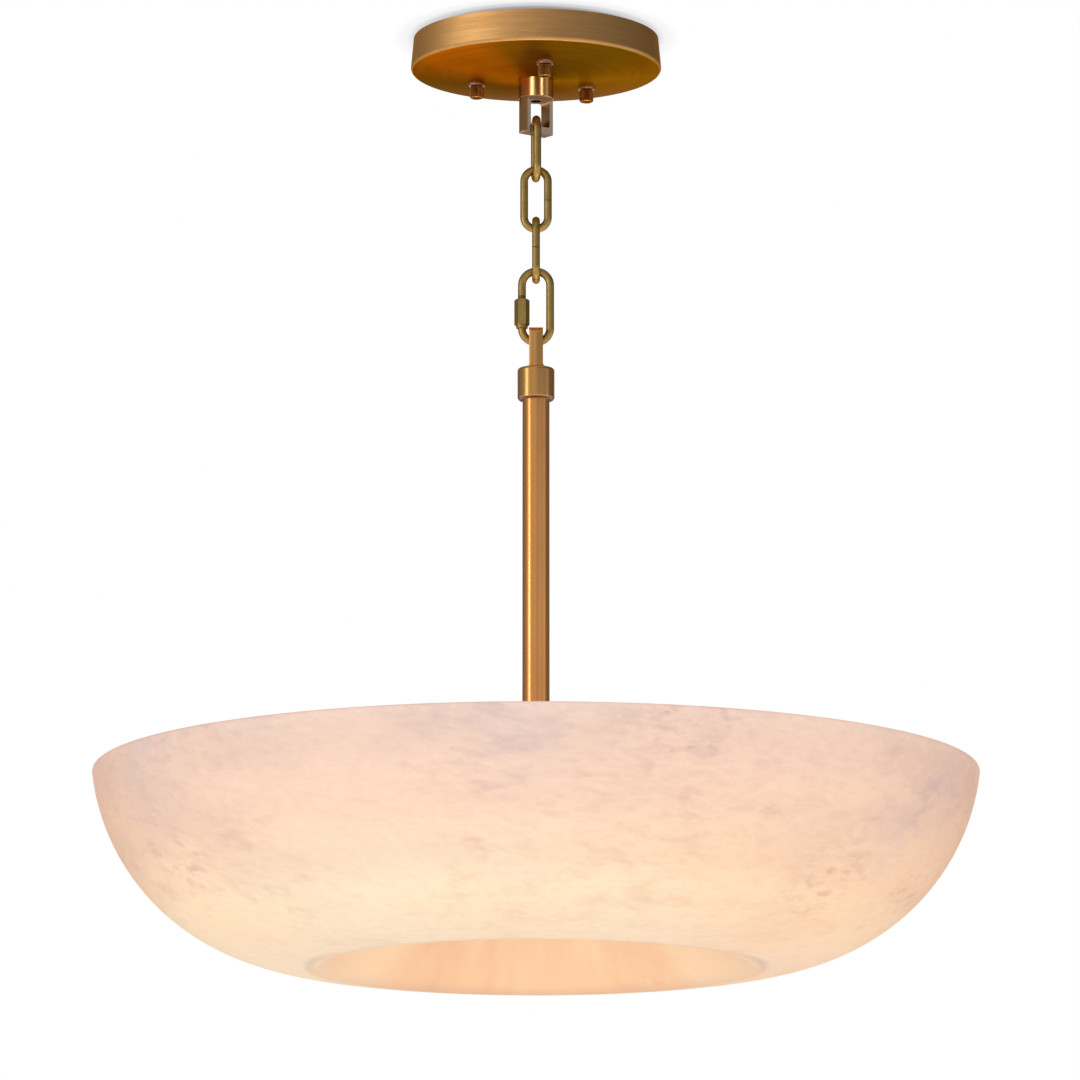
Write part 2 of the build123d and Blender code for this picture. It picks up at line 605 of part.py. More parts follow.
parts = {
    "ceiling_plate": make_plate(),
    "canopy_studs": Compound(children=[at_nut(angle, stud) for angle in nut_angles.values()]),
    "stud_nuts": Compound(children=[at_nut(angle, stud_nut) for angle in nut_angles.values()]),
    "ground_screw": make_ground_screw(),
    "canopy": make_canopy(),
    "nut_washers": Compound(children=[at_nut(angle, nut_washer) for angle in nut_angles.values()]),
    "canopy_pipe": tube(PIPE_R, PIPE_BORE_R, -TOP_RECESS, pipe_length),
    "plate_pipe_nut": hex_nut(PIPE_NUT_FLATS, PIPE_R + FIT, -PLATE_T, PIPE_NUT_T),
    "canopy_pipe_washer": tube(PIPE_WASHER_R, PIPE_R + FIT, pipe_washer_top, PIPE_WASHER_T),
    "canopy_pipe_nut": hex_nut(PIPE_NUT_FLATS, PIPE_R + FIT, pipe_washer_top + PIPE_NUT_T, PIPE_NUT_T),
    "canopy_loop": make_canopy_loop(),
    "chain_link_1": make_link(link_1_centre, 90 + LINK_1_TURN),
    "chain_link_2": make_link(link_2_centre, 0),
    "chain_link_3": make_link(link_3_centre, -90),
    "quick_link": make_quick_link(),
    "quick_link_sleeve": make_sleeve(),
    "stem_loop": make_stem_loop(),
    "stem_tube": tube(STEM_R, stem_bore_r, collar_bottom, STEM_LENGTH),
    "stem_plug": tube(stem_bore_r - FIT, ROD_R + FIT, stem_bottom + PLUG_LENGTH, PLUG_LENGTH),
    "clamp_rod": tube(ROD_R, ROD_BORE_R, stem_bottom + PLUG_LENGTH, stem_bottom + PLUG_LENGTH - rod_bottom),
    "hub_lid": make_lid(),
    "hub": make_hub(),
    "arm_nuts": Compound(children=[on_arm(angle, arm_nut) for angle in lamp_angles]),
    "upper_clamp_plate": tube(clamp_r, ROD_R + FIT, clamp_top, CLAMP_T),
    "upper_gasket": tube(gasket_r, ROD_R + FIT, stone_top + GASKET_T, GASKET_T),
    "bowl": make_bowl(),
    "lower_gasket": tube(gasket_r, ROD_R + FIT, stone_bottom, GASKET_T),
    "lower_clamp_plate": tube(clamp_r, ROD_R + FIT, lower_clamp_top, CLAMP_T),
    "clamp_nut": hex_nut(ROD_NUT_FLATS, ROD_R + FIT, rod_nut_top, ROD_NUT_T),
    "finial": make_finial(),
}
for place, angle in nut_angles.items():
    parts["knurled_nut_" + place] = at_nut(angle, knurled_nut)
for number, angle in enumerate(lamp_angles, start=1):
    for piece, solid in lamp_pieces.items():
        parts[f"{piece}_{number}"] = on_arm(angle, solid)

os.makedirs("parts", exist_ok=True)
for node, solid in parts.items():
    export_step(solid, f"parts/{node}.step")

print(len(parts), "parts")
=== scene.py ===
import math

import bpy
from mathutils import Matrix, Vector


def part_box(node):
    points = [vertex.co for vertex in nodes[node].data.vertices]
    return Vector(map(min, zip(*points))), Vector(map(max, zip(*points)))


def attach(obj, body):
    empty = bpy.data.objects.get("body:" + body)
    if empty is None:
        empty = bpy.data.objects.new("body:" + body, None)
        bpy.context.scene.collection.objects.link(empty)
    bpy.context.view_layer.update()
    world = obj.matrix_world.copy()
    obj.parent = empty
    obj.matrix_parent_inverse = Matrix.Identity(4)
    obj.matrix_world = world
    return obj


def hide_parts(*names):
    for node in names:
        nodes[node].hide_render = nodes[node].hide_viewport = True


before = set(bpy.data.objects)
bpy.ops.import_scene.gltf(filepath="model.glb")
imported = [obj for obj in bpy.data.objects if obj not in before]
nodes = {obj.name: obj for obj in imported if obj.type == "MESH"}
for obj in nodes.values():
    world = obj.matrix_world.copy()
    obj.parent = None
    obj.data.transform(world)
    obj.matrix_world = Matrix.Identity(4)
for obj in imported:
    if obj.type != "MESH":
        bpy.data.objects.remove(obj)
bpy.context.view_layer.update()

# Sizes, in metres. The origin is the centre of the canopy's top edge and +Z is up.
LAMPS = range(1, 7)
NUT_PLACES = ("left", "front", "right")
STONE_WALL = 0.012
RIM_R = 0.2645
RIM_LEAN = 6.0
RIM_ROUND = 0.003
BELLY_R = 0.130
BELLY_END = 68.0
BASE_R = 0.140
LIP_ROUND = 0.014
RECESS_RISE = 0.048
RECESS_FLAT_R = 0.036
STONE_HOLE_R = 0.007
STONE_EDGE = 0.0008
HUB_R = 0.034
LAMP_TILT = 16.0
BULB_LENGTH = 0.074
BULB_R = 0.0175
BULB_NECK = 0.005
BULB_WIDEST = 0.030
LAMP_BASE_R = 0.0065
NUT_BORE_R = 0.0021
NUT_BEVEL = 0.0005
KNURLS = 30
KNURL_DEPTH = 0.00035
NUT_DISH = 0.0004
SCREW_PITCH = 0.0008
LOOP_TURN = 38.0
LOOP_HEAD = 0.012
LAMP_SPOT_R = 0.180
LAMP_SPOT_Z = -0.553
LAMP_SPOT_SIZE = 0.082

# Faces round each turned piece
STONE_STEPS = 224
BULB_STEPS = 48
NUT_STEPS = 60
SHADE_STEPS = 96

# How far the normal of a canopy face points down where the underside's painted reflection and gloss start and are
# full
UNDER_START = -0.75
UNDER_FULL = -0.97

# Stage, in metres, degrees and watts
FLOOR_SIZE = 30.0
FLOOR_LEVEL = -2.6
FLAG_REACH = 1.5
FLAG_STEPS = 24
STUDIO_WHITE = (1.0, 0.97, 0.93)
LIGHT_AIM = Vector((0, 0, -0.28))
LAMP_LIGHT_SIZE = 0.36
LAMP_LIGHT_LEVEL = -0.500
LAMP_LIGHT_POWER = 0.9
LAMP_LIGHT_COLOUR = (1.0, 0.80, 0.56)
SENSOR_WIDTH = 36.0
FOCAL_PIXELS = 7000
VIEW_PIXELS = 1080
CAMERA_PITCH = 10.6
CAMERA_REACH = 4.2
CAMERA_AIM = Vector((0.0024, 0, -0.30935))

# The stone's outer face is two arcs, so the radius of its lowest ring follows from the rim's.
BELLY_COS = math.cos(math.radians(BELLY_END))
LIP_R = RIM_R - BELLY_R * (math.cos(math.radians(RIM_LEAN)) - BELLY_COS) - BASE_R * BELLY_COS


# Node helpers

def node(tree, kind, inputs=None, **settings):
    """Add a node, then set or link its inputs."""
    made = tree.nodes.new(kind)
    for name, value in settings.items():
        setattr(made, name, value)
    for key, value in (inputs or {}).items():
        if isinstance(value, bpy.types.NodeSocket):
            tree.links.new(value, made.inputs[key])
        else:
            made.inputs[key].default_value = value
    return made


def math_node(tree, operation, a, b=0.0, clamp=False):
    return node(tree, "ShaderNodeMath", {0: a, 1: b}, operation=operation, use_clamp=clamp).outputs[0]


def times(tree, first, *others):
    for other in others:
        first = math_node(tree, "MULTIPLY", first, other)
    return first


def noise(tree, vector, scale, detail=3.0, roughness=0.55, distortion=0.0):
    made = node(tree, "ShaderNodeTexNoise", {"Vector": vector, "Scale": scale, "Detail": detail,
                                             "Roughness": roughness, "Distortion": distortion})
    return made.outputs["Fac"]


def span(tree, value, low, high, out_low=0.0, out_high=1.0, shape="SMOOTHSTEP"):
    """A value's place between low and high, eased, as a number from out_low to out_high."""
    made = node(tree, "ShaderNodeMapRange", {"Value": value, "From Min": low, "From Max": high,
                                             "To Min": out_low, "To Max": out_high}, interpolation_type=shape)
    return made.outputs["Result"]


def mix(tree, factor, a, b, mode="MIX"):
    made = node(tree, "ShaderNodeMix", {0: factor, 6: a, 7: b}, data_type="RGBA", blend_type=mode)
    return made.outputs[2]


def tint(tree, factor, colour, by):
    """A colour multiplied by another one, as far as the factor says."""
    return mix(tree, factor, colour, rgb(*by), "MULTIPLY")


def ramp(tree, value, stops, shape="EASE"):
    made = node(tree, "ShaderNodeValToRGB", {"Fac": value})
    made.color_ramp.interpolation = shape
    band = made.color_ramp.elements
    while len(band) < len(stops):
        band.new(0.5)
    for element, (position, colour) in zip(band, stops):
        element.position = position
        element.color = (*colour, 1.0)
    return made.outputs["Color"]


def mapped(tree, turn=(0, 0, 0), scale=(1, 1, 1), place=(0, 0, 0)):
    """Object coordinates, turned in degrees, stretched and moved."""
    where = node(tree, "ShaderNodeTexCoord").outputs["Object"]
    angles = [math.radians(angle) for angle in turn]
    made = node(tree, "ShaderNodeMapping", {"Vector": where, "Location": place, "Rotation": angles, "Scale": scale})
    return made.outputs["Vector"]


def stretched(tree, vector, by):
    return node(tree, "ShaderNodeVectorMath", {0: vector, 1: by}, operation="MULTIPLY").outputs["Vector"]


def axes(tree, vector):
    parts = node(tree, "ShaderNodeSeparateXYZ", {0: vector})
    return [parts.outputs[axis] for axis in "XYZ"]


def polar(tree, vector):
    """Radius and angle about Z, and the height."""
    x, y, z = axes(tree, vector)
    flat = node(tree, "ShaderNodeCombineXYZ", {"X": x, "Y": y}).outputs[0]
    radius = node(tree, "ShaderNodeVectorMath", {0: flat}, operation="LENGTH").outputs["Value"]
    return radius, math_node(tree, "ARCTAN2", y, x), z


def distance(tree, where, centre):
    return node(tree, "ShaderNodeVectorMath", {0: where, 1: centre}, operation="DISTANCE").outputs["Value"]


def part_along(tree, vector, way):
    """How far a vector reaches in one direction."""
    return node(tree, "ShaderNodeVectorMath", {0: vector, 1: way}, operation="DOT_PRODUCT").outputs["Value"]


def facing_up(tree):
    """1 on faces that look up, -1 on faces that look down."""
    return axes(tree, node(tree, "ShaderNodeNewGeometry").outputs["True Normal"])[2]


def spot(tree, where, centre, size):
    """Soft round mask about a point, 1 at its centre."""
    return span(tree, distance(tree, where, centre), size, 0.0)


def near_to(tree, value, middle, reach):
    """Soft mask about one value, 1 at the middle."""
    apart = math_node(tree, "ABSOLUTE", math_node(tree, "SUBTRACT", value, middle))
    return span(tree, apart, reach, 0.0)


def bump(tree, height, strength, distance):
    made = node(tree, "ShaderNodeBump", {"Height": height, "Strength": strength, "Distance": distance})
    return made.outputs["Normal"]


def set_coat(shader, roughness, ior, weight=1.0):
    shader.inputs["Coat Weight"].default_value = weight
    shader.inputs["Coat Roughness"].default_value = roughness
    shader.inputs["Coat IOR"].default_value = ior


def finish_named(name):
    """New material, with its tree and its shader."""
    made = bpy.data.materials.new(name)
    made.use_nodes = True
    return made, made.node_tree, made.node_tree.nodes["Principled BSDF"]


def recolour(tree, shader, change):
    """Put a change between a shader's colour and what it had."""
    old = shader.inputs["Base Color"].links[0].from_socket
    tree.links.new(change(old), shader.inputs["Base Color"])


def rgb(*values):
    return (*values, 1.0)


# Metal finishes

def turned_grain(tree):
    """Coordinates whose fine direction runs across the rings that a lathe leaves about an upright axis."""
    radius, angle, z = polar(tree, mapped(tree))
    slow = math_node(tree, "MULTIPLY", angle, 0.004)
    return node(tree, "ShaderNodeCombineXYZ", {"X": radius, "Y": z, "Z": slow}).outputs[0]


def drawn_grain(tree):
    """Coordinates for hairlines that run along an upright bar."""
    return mapped(tree, scale=(1, 1, 0.006))


def ring_grain(tree):
    """Coordinates for fine hairlines around an upright bar."""
    return mapped(tree, scale=(0.12, 0.12, 1))


def cast_grain(tree):
    """Coordinates for the even, fine grain of tumbled metal."""
    return mapped(tree)


def metal(name, grain, dark, light, edge, rough, scales=(700, 2600), tone=14, depth=0.12, lines=0.55):
    """Worked metal: broad tone, streaks and hairlines along the grain, and roughness that follows them."""
    made, tree, shader = finish_named(name)
    along = grain(tree)
    streak = noise(tree, along, scales[0], 3, 0.6)
    hair = noise(tree, along, scales[1], 2, 0.5)
    cloud = noise(tree, mapped(tree), tone, 4, 0.6)
    worked = math_node(tree, "ADD", times(tree, streak, 0.6), times(tree, hair, 0.4))
    shade = math_node(tree, "ADD", times(tree, worked, lines), times(tree, cloud, 1 - lines))
    tree.links.new(ramp(tree, shade, [(0.36, dark), (0.64, light)]), shader.inputs["Base Color"])
    tree.links.new(span(tree, shade, 0.3, 0.7, rough[1], rough[0]), shader.inputs["Roughness"])
    tree.links.new(bump(tree, worked, depth, 0.0002), shader.inputs["Normal"])
    shader.inputs["Metallic"].default_value = 1.0
    shader.inputs["Specular Tint"].default_value = rgb(*edge)
    return made, tree, shader


def lacquered(name, dark, light):
    """Drawn copper-brown brass under clear lacquer, polished along its length, with painted shade on faces that look
    down.
    """
    made, tree, shader = metal(name, drawn_grain, dark, light, (0.75, 0.50, 0.32), (0.28, 0.33),
                               scales=(500, 2400), tone=12, depth=0.004, lines=0.5)
    set_coat(shader, 0.13, 1.65)
    # Painted shade: faces that look down are darkened to deep brown.
    under = span(tree, facing_up(tree), -0.25, -0.6)
    recolour(tree, shader, lambda old: mix(tree, under, old, rgb(0.12, 0.045, 0.02)))
    return made


def canopy_finish():
    """Satin brass turned on a lathe. The underside is glossier and carries a painted reflection: deep orange in
    sectors round the axis, paler towards one side, with a bright spot next to the loop.
    """
    made, tree, shader = metal("satin_brass_canopy", turned_grain, (0.53, 0.290, 0.106), (0.64, 0.36, 0.138),
                               (0.53, 0.315, 0.05), (0.48, 0.56), scales=(420, 1500), depth=0.10, lines=0.7)
    up = facing_up(tree)
    under = span(tree, up, UNDER_START, UNDER_FULL)
    where = mapped(tree)
    streaks = noise(tree, turned_grain(tree), 260, 3, 0.6)
    turn = span(tree, polar(tree, where)[1], -math.pi, math.pi, shape="LINEAR")
    # Painted reflection: sectors of lighter and darker orange round the axis stand in for the reflections a spun
    # underside shows.
    painted_reflection_wedges = ((-180, (0.50, 0.185)), (-157, (0.77, 0.235)), (-140, (0.645, 0.201)), (-121, (0.57, 0.185)),
              (-106, (0.29, 0.140)), (-94, (0.26, 0.134)), (-68, (0.235, 0.130)), (-46, (0.255, 0.152)),
              (-22, (0.41, 0.201)), (7, (0.61, 0.307)), (40, (0.40, 0.179)), (65, (0.27, 0.095)),
              (120, (0.215, 0.090)), (160, (0.24, 0.123)), (180, (0.50, 0.185)))
    painted_reflection_fan = ramp(tree, turn, [((way + 180) / 360, (red, green, 0.025)) for way, (red, green) in painted_reflection_wedges], "LINEAR")
    deep = mix(tree, span(tree, streaks, 0.35, 0.65), tint(tree, 1.0, painted_reflection_fan, (0.88, 0.88, 0.88)), painted_reflection_fan)
    # Painted reflection: a bright orange spot on the underside next to the loop.
    centre = spot(tree, where, (-0.015, 0.0, -0.0255), 0.021)
    deep = mix(tree, centre, deep, rgb(0.72, 0.246, 0.025))
    recolour(tree, shader, lambda old: mix(tree, under, old, deep))
    rough = shader.inputs["Roughness"].links[0].from_socket
    smooth = math_node(tree, "MULTIPLY", rough, span(tree, up, UNDER_START, UNDER_FULL, 1.0, 0.62))
    tree.links.new(smooth, shader.inputs["Roughness"])
    return made


def loop_finish():
    """Copper-brown brass. The flat faces below the head are painted greyer, as a painted reflection."""
    made, tree, shader = metal("brass_loop_painted_flat_reflection", ring_grain, (0.40, 0.215, 0.048), (0.48, 0.265, 0.068),
                               (0.62, 0.44, 0.28), (0.26, 0.30), scales=(500, 2200), tone=40, depth=0.004, lines=0.3)
    set_coat(shader, 0.18, 1.7, 0.8)
    facing = node(tree, "ShaderNodeNewGeometry").outputs["True Normal"]
    turn = math.radians(LOOP_TURN)
    front = Vector((math.sin(turn), -math.cos(turn), 0))
    flat = span(tree, math_node(tree, "ABSOLUTE", part_along(tree, facing, front)), 0.985, 0.998)
    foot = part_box("canopy_loop")[1].z - LOOP_HEAD
    below = span(tree, axes(tree, mapped(tree))[2], foot + 0.0002, foot - 0.0003)
    # Painted reflection: flat faces below the head are mixed to a mauve grey.
    recolour(tree, shader, lambda old: mix(tree, times(tree, flat, below), old, rgb(0.31, 0.222, 0.160)))
    return made


def chain_finish(name, seam=None, thread=False):
    """Dull olive brass with darker patina in patches, a butt seam, and painted shade in the dark turns of a screw
    above the sleeve.
    """
    made, tree, shader = metal(name, cast_grain, (0.35, 0.238, 0.076), (0.43, 0.288, 0.092), (0.66, 0.52, 0.30),
                               (0.36, 0.46), scales=(600, 2400), tone=150, depth=0.03, lines=0.35)
    where = mapped(tree)
    x, _, z = axes(tree, where)
    if seam:
        way, side, height = seam
        line = near_to(tree, math_node(tree, "ADD", z, times(tree, x, 0.12)), height, 0.00042)
        facing = span(tree, part_along(tree, where, way), side, side + 0.001)
        recolour(tree, shader, lambda old: mix(tree, times(tree, line, facing), old, rgb(0.035, 0.022, 0.008)))
    if thread:
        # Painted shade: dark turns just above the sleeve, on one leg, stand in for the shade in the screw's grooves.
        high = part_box("quick_link_sleeve")[1]
        left = math_node(tree, "LESS_THAN", x, high.x)
        above = near_to(tree, z, high.z + 0.0008, 0.0022)
        turns = math_node(tree, "SINE", times(tree, z, 2 * math.pi / SCREW_PITCH))
        dark = times(tree, left, span(tree, above, 0.1, 0.4), span(tree, turns, -1.3, 0.5))
        recolour(tree, shader, lambda old: mix(tree, dark, old, rgb(0.03, 0.018, 0.006)))
    return made


# Stone and lamp finishes

def lamp_glow(tree, where):
    """How near a point of the stone is to the places that the lamps light most."""
    lit = None
    for number in LAMPS:
        low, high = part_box(f"bulb_{number}")
        middle = (low + high) / 2
        outward = Vector((middle.x, middle.y, 0)).normalized()
        near = spot(tree, where, outward * LAMP_SPOT_R + Vector((0, 0, LAMP_SPOT_Z)), LAMP_SPOT_SIZE)
        lit = near if lit is None else math_node(tree, "ADD", lit, near)
    return lit


def stone_finish():
    """Alabaster lit from inside: bedded clouds, smears and specks, with the glow of six lamps behind it."""
    made, tree, shader = finish_named("lit_alabaster")
    where = mapped(tree)
    radius, angle, z = polar(tree, where)
    low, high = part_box("bowl")
    height = span(tree, z, low.z, high.z, shape="LINEAR")
    inside = node(tree, "ShaderNodeAttribute", attribute_name="inner_face").outputs["Fac"]
    lit = lamp_glow(tree, where)

    # The bedding leans down to the right, and the patterns are long in it and thin across it.
    leaning = mapped(tree, turn=(-11, -6, 0))
    bed = stretched(tree, leaning, (1, 1, 2.6))
    broad = noise(tree, stretched(tree, leaning, (1, 1, 2.0)), 8.5, 4, 0.55, 0.4)
    cluster = noise(tree, stretched(tree, leaning, (1, 1, 1.6)), 10.5, 3, 0.5)
    smear = noise(tree, bed, 40, 5, 0.62, 0.25)
    speck = noise(tree, bed, 78, 3, 0.5, 0.1)
    mottle = noise(tree, bed, 115, 6, 0.74, 0.25)

    # Colour of the light that comes through, from the lowest ring up to the rim.
    upper = span(tree, height, 0.15, 0.75)
    glow = ramp(tree, height, [(0.0, (0.95, 0.86, 0.65)), (0.16, (0.93, 0.81, 0.57)), (0.36, (0.835, 0.63, 0.43)),
                               (0.62, (0.735, 0.505, 0.37)), (0.84, (0.65, 0.45, 0.36)), (1.0, (0.645, 0.465, 0.39))])
    glow = mix(tree, math_node(tree, "MULTIPLY", lit, 0.55, clamp=True), glow, rgb(0.98, 0.77, 0.50))
    # Painted light: the glow is brighter towards +X in the upper part, and warmer there in the lower part.
    right = span(tree, axes(tree, where)[0], -0.03, 0.16)
    glow = mix(tree, right, glow, mix(tree, upper, rgb(1.03, 0.90, 0.84), rgb(1.12, 1.12, 1.12)), "MULTIPLY")

    # Clouds and smears are mauve in the upper half, and brown where the lamps are near.
    clouds = times(tree, span(tree, broad, 0.46, 0.66), span(tree, height, 0.1, 0.8, 0.2, 1.0))
    glow = tint(tree, clouds, glow, (0.92, 0.92, 0.95))
    smears = times(tree, span(tree, smear, 0.46, 0.70), span(tree, cluster, 0.40, 0.62, 0.15, 1.0))
    shade = mix(tree, upper, rgb(0.94, 0.865, 0.825), rgb(0.895, 0.88, 0.92))
    glow = mix(tree, smears, glow, shade, "MULTIPLY")
    places = span(tree, cluster, 0.50, 0.66, 0.0, 0.25)
    for place, size in (((-0.205, -0.115, -0.522), 0.050), ((0.165, -0.140, -0.536), 0.055),
                        ((0.212, -0.060, -0.535), 0.045), ((0.090, -0.247, -0.458), 0.050)):
        places = math_node(tree, "MAXIMUM", places, spot(tree, where, place, size))
    specks = times(tree, span(tree, speck, 0.50, 0.68), places)
    glow = tint(tree, specks, glow, (0.81, 0.775, 0.85))
    glow = tint(tree, span(tree, mottle, 0.44, 0.64), glow, (0.935, 0.905, 0.895))
    glow = mix(tree, span(tree, mottle, 0.46, 0.30, 0.0, 0.30), glow, rgb(0.92, 0.66, 0.44))

    # Bluish patches on the outer face: painted cool sheen of light glancing off the stone.
    for place, size in (((-0.226, -0.134, -0.466), 0.060), ((0.238, -0.105, -0.476), 0.038),
                        ((0.212, -0.130, -0.504), 0.040), ((-0.01, -0.262, -0.463), 0.055)):
        patch = times(tree, spot(tree, where, place, size), span(tree, smear, 0.36, 0.56, 0.35, 1.0))
        glow = tint(tree, patch, glow, (0.89, 0.94, 1.10))

    # The fold at the lowest ring is thick and lets less light through, and on its two sides it has painted shade
    # where it turns away. The hollow inside it is warmer.
    sideways = math_node(tree, "ABSOLUTE", math_node(tree, "COSINE", angle))
    sides = span(tree, sideways, 0.82, 0.98)
    ring = times(tree, near_to(tree, radius, LIP_R + 0.004, 0.005), sides)
    glow = tint(tree, ring, glow, (0.76, 0.75, 0.77))
    fold = near_to(tree, radius, LIP_R + 0.001, 0.005)
    glow = tint(tree, times(tree, fold, 0.6), glow, (0.82, 0.76, 0.76))
    rays = noise(tree, node(tree, "ShaderNodeCombineXYZ", {
        "X": math_node(tree, "COSINE", angle), "Y": math_node(tree, "SINE", angle),
        "Z": times(tree, radius, 2.5)}).outputs[0], 4.5, 4, 0.6, 0.2)
    warm = ramp(tree, rays, [(0.34, (0.77, 0.405, 0.182)), (0.52, (0.80, 0.470, 0.222)),
                             (0.66, (0.85, 0.540, 0.275))])
    warm = mix(tree, span(tree, sideways, 0.62, 0.84, 0.0, 0.9), warm, rgb(0.87, 0.62, 0.375))
    depth = span(tree, axes(tree, where)[1], -0.02, 0.05, 0.0, 0.012)
    nearer = math_node(tree, "SUBTRACT", radius, depth)
    hollow = times(tree, span(tree, nearer, LIP_R + 0.001, LIP_R - 0.007), span(tree, height, 0.5, 0.4))
    glow = mix(tree, hollow, glow, warm)

    # The inner face looks at the lamps.
    face = mix(tree, math_node(tree, "MULTIPLY", lit, 0.8, clamp=True), rgb(0.74, 0.48, 0.28), rgb(0.90, 0.69, 0.44))
    face = tint(tree, times(tree, clouds, 0.6), face, (0.74, 0.77, 0.80))
    face = tint(tree, smears, face, (0.85, 0.80, 0.78))
    glow = mix(tree, inside, glow, face)
    tree.links.new(glow, shader.inputs["Emission Color"])
    shader.inputs["Emission Strength"].default_value = 1.0

    body = ramp(tree, broad, [(0.35, (0.70, 0.62, 0.56)), (0.65, (0.63, 0.565, 0.53))])
    body = tint(tree, smears, body, (0.92, 0.90, 0.92))
    body = tint(tree, specks, body, (0.80, 0.77, 0.80))
    tree.links.new(body, shader.inputs["Base Color"])
    tree.links.new(span(tree, mottle, 0.3, 0.7, 0.46, 0.58), shader.inputs["Roughness"])
    tree.links.new(bump(tree, mottle, 0.06, 0.0004), shader.inputs["Normal"])
    shader.inputs["Specular IOR Level"].default_value = 0.3
    set_coat(shader, 0.5, 1.1)
    shader.inputs["Coat Tint"].default_value = rgb(0.85, 0.80, 0.755)
    return made


def bulb_finish():
    """Frosted glass, brightest round the middle of the lamp."""
    made, tree, shader = finish_named("frosted_lamp_glass")
    where = mapped(tree)
    middle = None
    for number in LAMPS:
        low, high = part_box(f"bulb_{number}")
        near = span(tree, distance(tree, where, (low + high) / 2), 0.042, 0.006)
        middle = near if middle is None else math_node(tree, "MAXIMUM", middle, near)
    frost = noise(tree, where, 900, 3, 0.6)
    colour = ramp(tree, middle, [(0.0, (0.62, 0.42, 0.24)), (1.0, (1.0, 0.83, 0.58))])
    colour = mix(tree, span(tree, frost, 0.3, 0.8, 0.0, 0.15), colour, rgb(0.9, 0.66, 0.42))
    tree.links.new(colour, shader.inputs["Emission Color"])
    shader.inputs["Emission Strength"].default_value = 0.85
    shade = ramp(tree, frost, [(0.3, (0.42, 0.38, 0.32)), (0.7, (0.48, 0.44, 0.38))])
    tree.links.new(shade, shader.inputs["Base Color"])
    tree.links.new(span(tree, frost, 0.3, 0.7, 0.30, 0.42), shader.inputs["Roughness"])
    tree.links.new(bump(tree, frost, 0.05, 0.0001), shader.inputs["Normal"])
    return made


def moulded_finish(name, low, high, rough, scale=500):
    """Matt moulded or painted surface with a fine orange-peel grain."""
    made, tree, shader = finish_named(name)
    peel = noise(tree, mapped(tree), scale, 3, 0.6)
    tone = noise(tree, mapped(tree), scale / 20, 3, 0.5)
    shade = times(tree, math_node(tree, "ADD", peel, tone), 0.5)
    tree.links.new(ramp(tree, shade, [(0.38, low), (0.62, high)]), shader.inputs["Base Color"])
    tree.links.new(span(tree, peel, 0.3, 0.7, rough - 0.06, rough + 0.06), shader.inputs["Roughness"])
    tree.links.new(bump(tree, peel, 0.15, 0.0002), shader.inputs["Normal"])
    return made


# Meshes

def new_piece(name, mesh, body):
    """Object at the origin, shaded smooth, that rides on a body."""
    made = bpy.data.objects.new(name, mesh)
    bpy.context.scene.collection.objects.link(made)
    mesh.shade_smooth()
    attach(made, body)
    return made


def new_mesh(name, points, faces, material):
    mesh = bpy.data.meshes.new(name)
    mesh.from_pydata(points, [], faces)
    mesh.validate()
    mesh.materials.append(material)
    return mesh


def lathe(outline, steps, place=Matrix.Identity(4), closed=True):
    """Points and faces of an outline of radius and height turned about Z. Points on the axis become poles."""
    points, rows = [], []
    for radius, height in outline:
        if radius < 1e-7:
            rows.append([len(points)])
            points.append(place @ Vector((0, 0, height)))
            continue
        rows.append(list(range(len(points), len(points) + steps)))
        for step in range(steps):
            turn = 2 * math.pi * step / steps
            points.append(place @ Vector((radius * math.cos(turn), radius * math.sin(turn), height)))
    faces = []
    pairs = list(zip(rows, rows[1:]))
    if closed:
        pairs.append((rows[-1], rows[0]))
    for one, two in pairs:
        for step in range(steps):
            after = (step + 1) % steps
            if len(one) == 1:
                faces.append((one[0], two[after], two[step]))
            elif len(two) == 1:
                faces.append((one[step], one[after], two[0]))
            else:
                faces.append((one[step], one[after], two[after], two[step]))
    return points, faces, rows


def arc(centre, radius, start, end, steps):
    """Outline points on an arc, with angles counted from outwards towards down."""
    made = []
    for step in range(steps + 1):
        turn = math.radians(start + (end - start) * step / steps)
        made.append(Vector((centre[0] + radius * math.cos(turn), centre[1] - radius * math.sin(turn))))
    return made


def rounded(before, corner, after, size, steps=6):
    """Outline points that round a corner."""
    start = corner + (before - corner).normalized() * size
    end = corner + (after - corner).normalized() * size
    made = []
    for step in range(steps + 1):
        t = step / steps
        made.append(start * (1 - t) ** 2 + corner * 2 * t * (1 - t) + end * t ** 2)
    return made


def stone_face(skin, lean, lowest):
    """One face of the stone, from the rim to the flat round its hole."""
    base = (LIP_R, lowest + BASE_R)
    joint = arc(base, BASE_R, BELLY_END, BELLY_END, 1)[0]
    belly = arc(joint, -BELLY_R, BELLY_END, BELLY_END, 1)[0]
    turn = 2 * math.degrees(math.atan(RECESS_RISE / (LIP_R - RECESS_FLAT_R)))
    recess_r = RECESS_RISE / (1 - math.cos(math.radians(turn))) - LIP_ROUND
    recess = (RECESS_FLAT_R, lowest + RECESS_RISE - recess_r)
    flat = lowest + RECESS_RISE + skin
    points = arc(belly, BELLY_R - skin, lean, BELLY_END, 40)
    points += arc(base, BASE_R - skin, BELLY_END, 90, 20)[1:]
    points += arc((LIP_R, lowest + LIP_ROUND), LIP_ROUND - skin, 90, 90 + turn, 16)[1:]
    points += arc(recess, -recess_r - skin, 90 + turn, 90, 24)[1:]
    points.append(Vector(((RECESS_FLAT_R + STONE_HOLE_R) / 2, flat)))
    points.append(Vector((STONE_HOLE_R, flat)))
    return points


